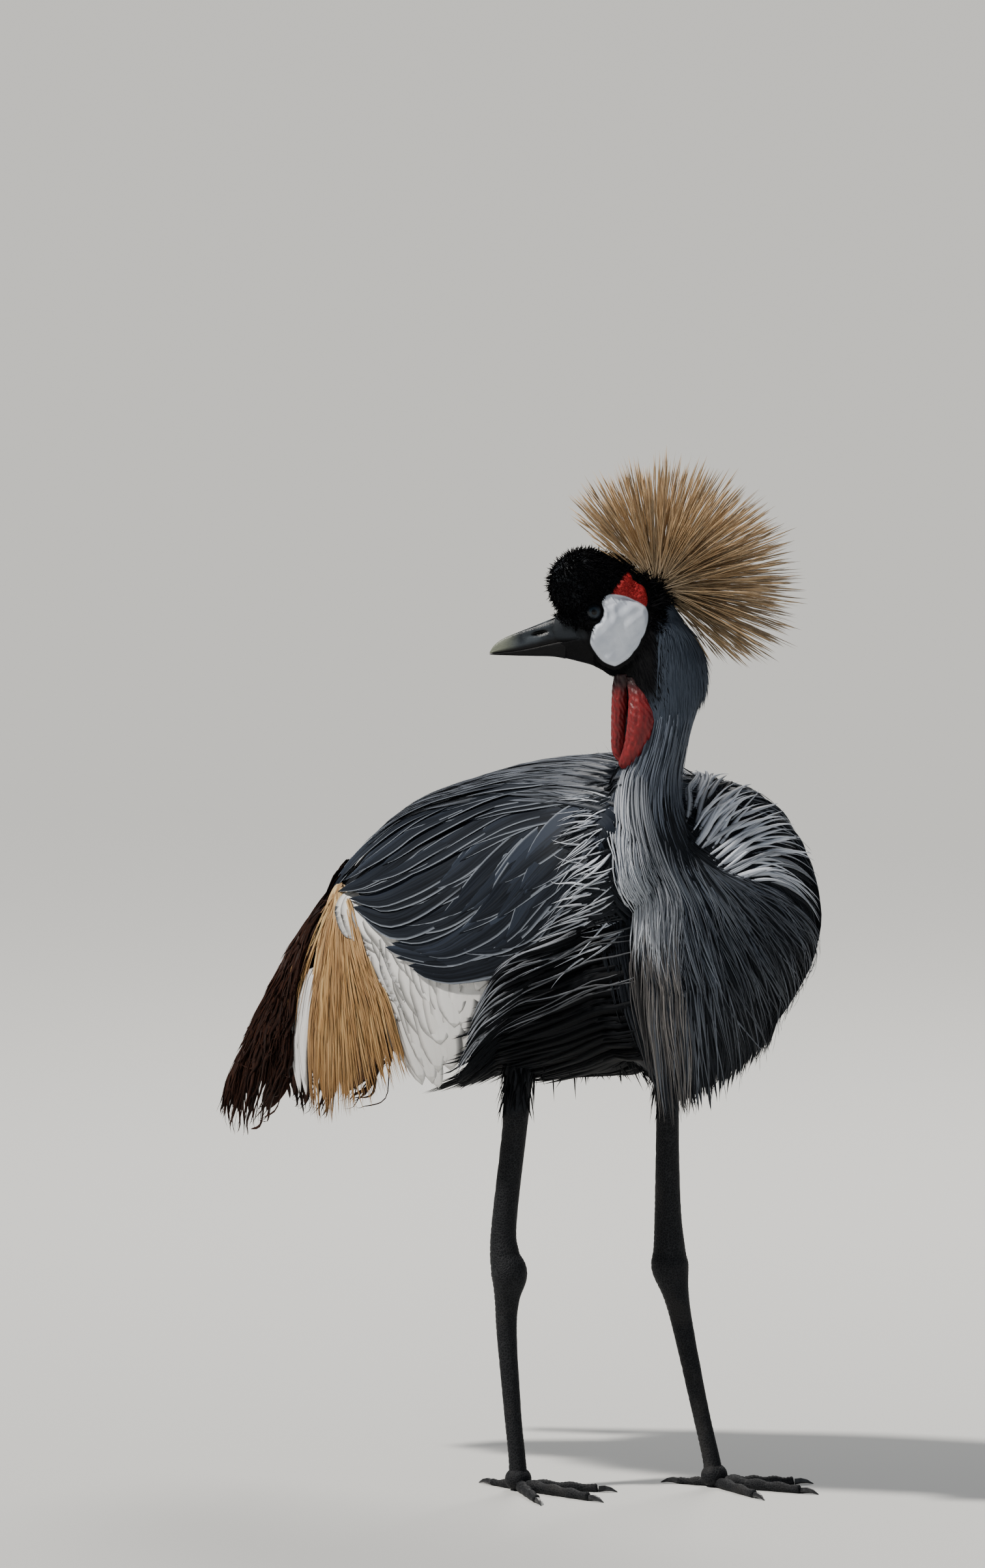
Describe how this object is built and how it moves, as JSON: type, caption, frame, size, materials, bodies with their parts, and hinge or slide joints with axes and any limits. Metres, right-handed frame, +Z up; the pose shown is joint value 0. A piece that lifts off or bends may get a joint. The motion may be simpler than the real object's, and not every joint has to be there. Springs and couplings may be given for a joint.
{
  "type": "grey crowned crane",
  "caption": "Life-size still model of a grey crowned crane standing with its neck drawn back and its head turned over its right shoulder",
  "frame": {"origin": "on the floor under the middle of the whole bird's bounding box", "axes": "+Z up; the body faces -Y, the bird's left side is +X; the head is turned back over the right shoulder"},
  "size_m": [0.2771, 0.5905, 0.9355],
  "materials": {
    "slate_plumage": "dark slate grey feathers, soft and matt with a faint blue cast",
    "silver_plumage": "long narrow silver-grey feathers with pale tips",
    "wing_slate": "broad blue-black and slate wing feathers, silky",
    "white_coverts": "smooth white wing coverts",
    "golden_plumes": "loose straw-gold hanging plumes, silky",
    "chestnut_plumage": "dark chestnut to black drooping feathers",
    "black_velvet": "dense short black feathers like velvet",
    "cheek_skin": "bare white cheek skin with fine folds",
    "wattle_red": "bare scarlet skin, wrinkled",
    "crest_gold": "stiff straw-gold twisted bristle feathers",
    "bill_horn": "dark grey horn with a pale tip, satin",
    "eye_glass": "pale blue-grey iris with a dark pupil under a wet clear surface",
    "leg_scales": "black-grey scaly leg skin, dry",
    "claw_horn": "black horn claws"
  },
  "bodies": {
    "root": {"torso": "slate_plumage", "breast": "silver_plumage", "neck": "silver_plumage", "head": "black_velvet", "bill_upper": "bill_horn", "bill_lower": "bill_horn", "eye_left": "eye_glass", "eye_right": "eye_glass", "crest": "crest_gold", "wattle": "wattle_red", "wing_left": "wing_slate", "wing_right": "wing_slate", "tail": "chestnut_plumage", "shank_left": "leg_scales", "shank_right": "leg_scales", "tarsus_left": "leg_scales", "tarsus_right": "leg_scales", "foot_left": "leg_scales", "foot_right": "leg_scales", "claw_left_inner": "claw_horn", "claw_left_middle": "claw_horn", "claw_left_outer": "claw_horn", "claw_left_hind": "claw_horn", "claw_right_inner": "claw_horn", "claw_right_middle": "claw_horn", "claw_right_outer": "claw_horn", "claw_right_hind": "claw_horn"}
  },
  "joints": []
}
